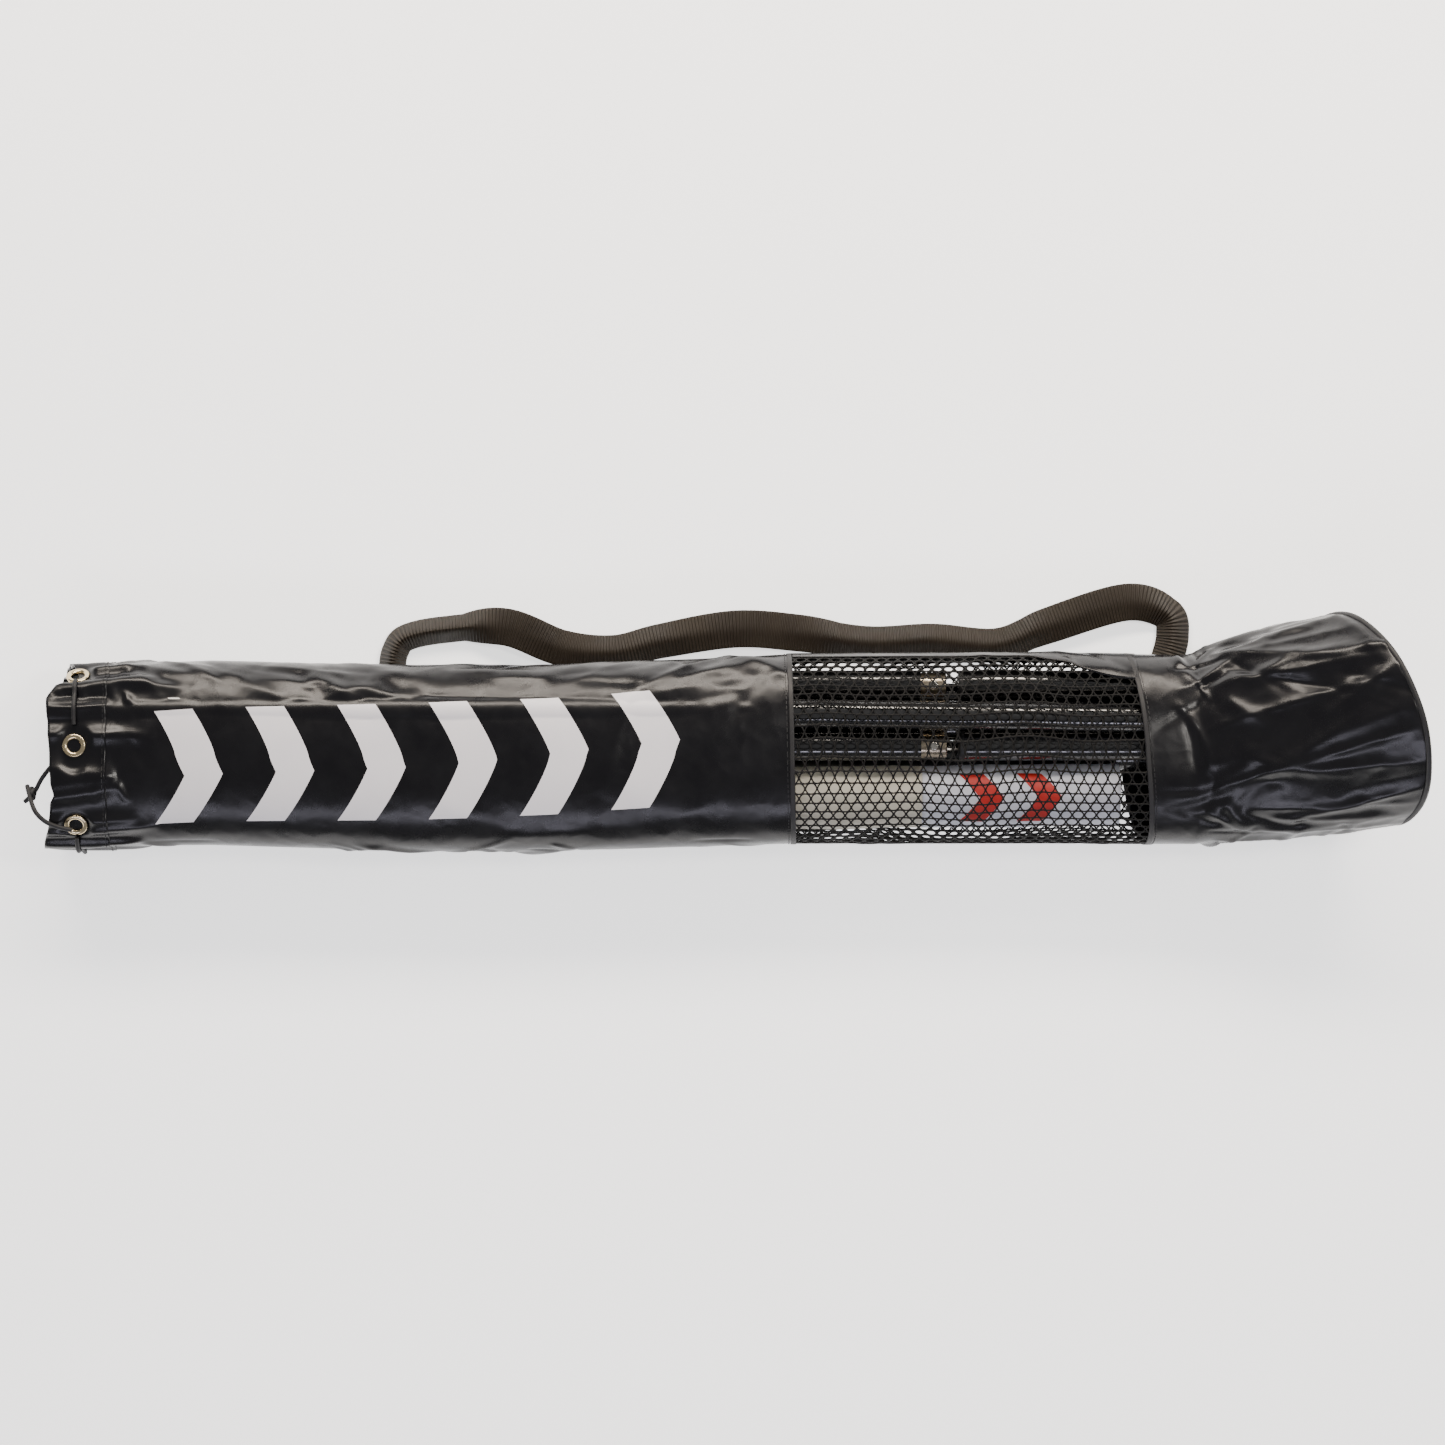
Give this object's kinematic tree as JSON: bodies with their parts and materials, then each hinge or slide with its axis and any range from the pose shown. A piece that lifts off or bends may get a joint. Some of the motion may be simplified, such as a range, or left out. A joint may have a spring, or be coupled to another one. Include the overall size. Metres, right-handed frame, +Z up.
{
  "type": "packed lawn net set",
  "caption": "Long drawstring carry bag with a mesh window and webbing strap, packed with a rolled sports net and its steel tube frame that slide out of the mouth.",
  "frame": {"origin": "middle of the object's footprint on the ground, drawstring ends and knot left out", "axes": "+X along the bag from its mouth to its base, +Y to the side where the strap lies, +Z up"},
  "size_m": [0.9135, 0.1762, 0.1359],
  "materials": {
    "coated_nylon": "glossy polyurethane-coated nylon",
    "mesh_net": "knitted polyester mesh, hexagonal",
    "seam_tape": "woven seam tape",
    "webbing": "woven polypropylene webbing",
    "cord_black": "braided polyester cord",
    "nickel": "nickel-plated brass",
    "powder_black": "black powder coat",
    "zinc_steel": "zinc-plated steel",
    "plug_black": "moulded polyethylene",
    "button_steel": "nickel-plated steel",
    "net_twine": "knotted polyethylene net, rolled",
    "band_white": "coated polyester",
    "band_cream": "woven cotton-polyester tape",
    "tie_black": "hook-and-loop tape"
  },
  "bodies": {
    "bag": {"mouth_hem": "coated_nylon", "front_sleeve": "coated_nylon", "window_seam_front": "seam_tape", "mesh_window": "mesh_net", "window_seam_rear": "seam_tape", "rear_sleeve": "coated_nylon", "base_piping": "seam_tape", "base_panel": "coated_nylon", "spine_strip": "coated_nylon", "grommet_flanges": "nickel", "grommet_washers": "nickel", "drawstring": "cord_black", "drawstring_tail_upper": "cord_black", "drawstring_tail_lower": "cord_black", "drawstring_knot": "cord_black", "strap_patch_left": "webbing", "strap_patch_right": "webbing"},
    "strap": {"carry_strap": "webbing"},
    "base_bar_1": {"base_bar_1": "powder_black", "base_bar_1_ferrule": "zinc_steel"},
    "base_bar_2": {"base_bar_2": "powder_black", "base_bar_2_ferrule": "zinc_steel"},
    "base_bar_3": {"base_bar_3": "powder_black", "base_bar_3_ferrule": "zinc_steel"},
    "base_bar_4": {"base_bar_4": "powder_black", "base_bar_4_ferrule": "zinc_steel"},
    "post_1": {"post_1": "powder_black", "post_1_ferrule": "zinc_steel"},
    "post_1_button": {"post_1_button": "button_steel"},
    "foot_tube_1": {"foot_tube_1": "powder_black", "foot_tube_1_ferrule": "zinc_steel", "foot_tube_1_plug": "plug_black"},
    "post_2": {"post_2": "powder_black", "post_2_ferrule": "zinc_steel"},
    "post_2_button": {"post_2_button": "button_steel"},
    "foot_tube_2": {"foot_tube_2": "powder_black", "foot_tube_2_ferrule": "zinc_steel", "foot_tube_2_plug": "plug_black"},
    "post_3": {"post_3": "powder_black", "post_3_ferrule": "zinc_steel"},
    "post_3_button": {"post_3_button": "button_steel"},
    "foot_tube_3": {"foot_tube_3": "powder_black", "foot_tube_3_ferrule": "zinc_steel", "foot_tube_3_plug": "plug_black"},
    "post_4": {"post_4": "powder_black", "post_4_ferrule": "zinc_steel"},
    "post_4_button": {"post_4_button": "button_steel"},
    "foot_tube_4": {"foot_tube_4": "powder_black", "foot_tube_4_ferrule": "zinc_steel", "foot_tube_4_plug": "plug_black"},
    "net": {"net_roll": "net_twine", "headband_wrap": "band_white", "side_band_wrap": "band_cream", "roll_tie_1": "tie_black", "roll_tie_2": "tie_black"}
  },
  "joints": [
    {"name": "strap_swing", "type": "hinge", "parent": "bag", "child": "strap", "pos_m": [0, 0.0395, 0.0128], "axis": [1, 0, 0], "range_deg": [0, 90]},
    {"name": "base_bar_1_slide", "type": "slide", "parent": "bag", "child": "base_bar_1", "axis": [-1, 0, 0], "range_m": [0, 0.84]},
    {"name": "base_bar_2_slide", "type": "slide", "parent": "bag", "child": "base_bar_2", "axis": [-1, 0, 0], "range_m": [0, 0.84]},
    {"name": "base_bar_3_slide", "type": "slide", "parent": "bag", "child": "base_bar_3", "axis": [-1, 0, 0], "range_m": [0, 0.84]},
    {"name": "base_bar_4_slide", "type": "slide", "parent": "bag", "child": "base_bar_4", "axis": [-1, 0, 0], "range_m": [0, 0.84]},
    {"name": "post_1_slide", "type": "slide", "parent": "bag", "child": "post_1", "axis": [-1, 0, 0], "range_m": [0, 0.84]},
    {"name": "post_1_button_press", "type": "slide", "parent": "post_1", "child": "post_1_button", "axis": [0, 0, -1], "range_m": [0, 0.0015], "stiffness_N_per_m": 400},
    {"name": "foot_tube_1_slide", "type": "slide", "parent": "bag", "child": "foot_tube_1", "axis": [-1, 0, 0], "range_m": [0, 0.84]},
    {"name": "post_2_slide", "type": "slide", "parent": "bag", "child": "post_2", "axis": [-1, 0, 0], "range_m": [0, 0.84]},
    {"name": "post_2_button_press", "type": "slide", "parent": "post_2", "child": "post_2_button", "axis": [0, 0, -1], "range_m": [0, 0.0015], "stiffness_N_per_m": 400},
    {"name": "foot_tube_2_slide", "type": "slide", "parent": "bag", "child": "foot_tube_2", "axis": [-1, 0, 0], "range_m": [0, 0.84]},
    {"name": "post_3_slide", "type": "slide", "parent": "bag", "child": "post_3", "axis": [-1, 0, 0], "range_m": [0, 0.84]},
    {"name": "post_3_button_press", "type": "slide", "parent": "post_3", "child": "post_3_button", "axis": [0, 0, -1], "range_m": [0, 0.0015], "stiffness_N_per_m": 400},
    {"name": "foot_tube_3_slide", "type": "slide", "parent": "bag", "child": "foot_tube_3", "axis": [-1, 0, 0], "range_m": [0, 0.84]},
    {"name": "post_4_slide", "type": "slide", "parent": "bag", "child": "post_4", "axis": [-1, 0, 0], "range_m": [0, 0.84]},
    {"name": "post_4_button_press", "type": "slide", "parent": "post_4", "child": "post_4_button", "axis": [0, 0, -1], "range_m": [0, 0.0015], "stiffness_N_per_m": 400},
    {"name": "foot_tube_4_slide", "type": "slide", "parent": "bag", "child": "foot_tube_4", "axis": [-1, 0, 0], "range_m": [0, 0.84]},
    {"name": "net_slide", "type": "slide", "parent": "bag", "child": "net", "axis": [-1, 0, 0], "range_m": [0, 0.72]}
  ],
  "couplings": [
    {"joint": "foot_tube_1_slide", "follows": "post_1_slide", "ratio": 1},
    {"joint": "foot_tube_2_slide", "follows": "post_2_slide", "ratio": 1},
    {"joint": "foot_tube_3_slide", "follows": "post_3_slide", "ratio": 1},
    {"joint": "foot_tube_4_slide", "follows": "post_4_slide", "ratio": 1}
  ]
}
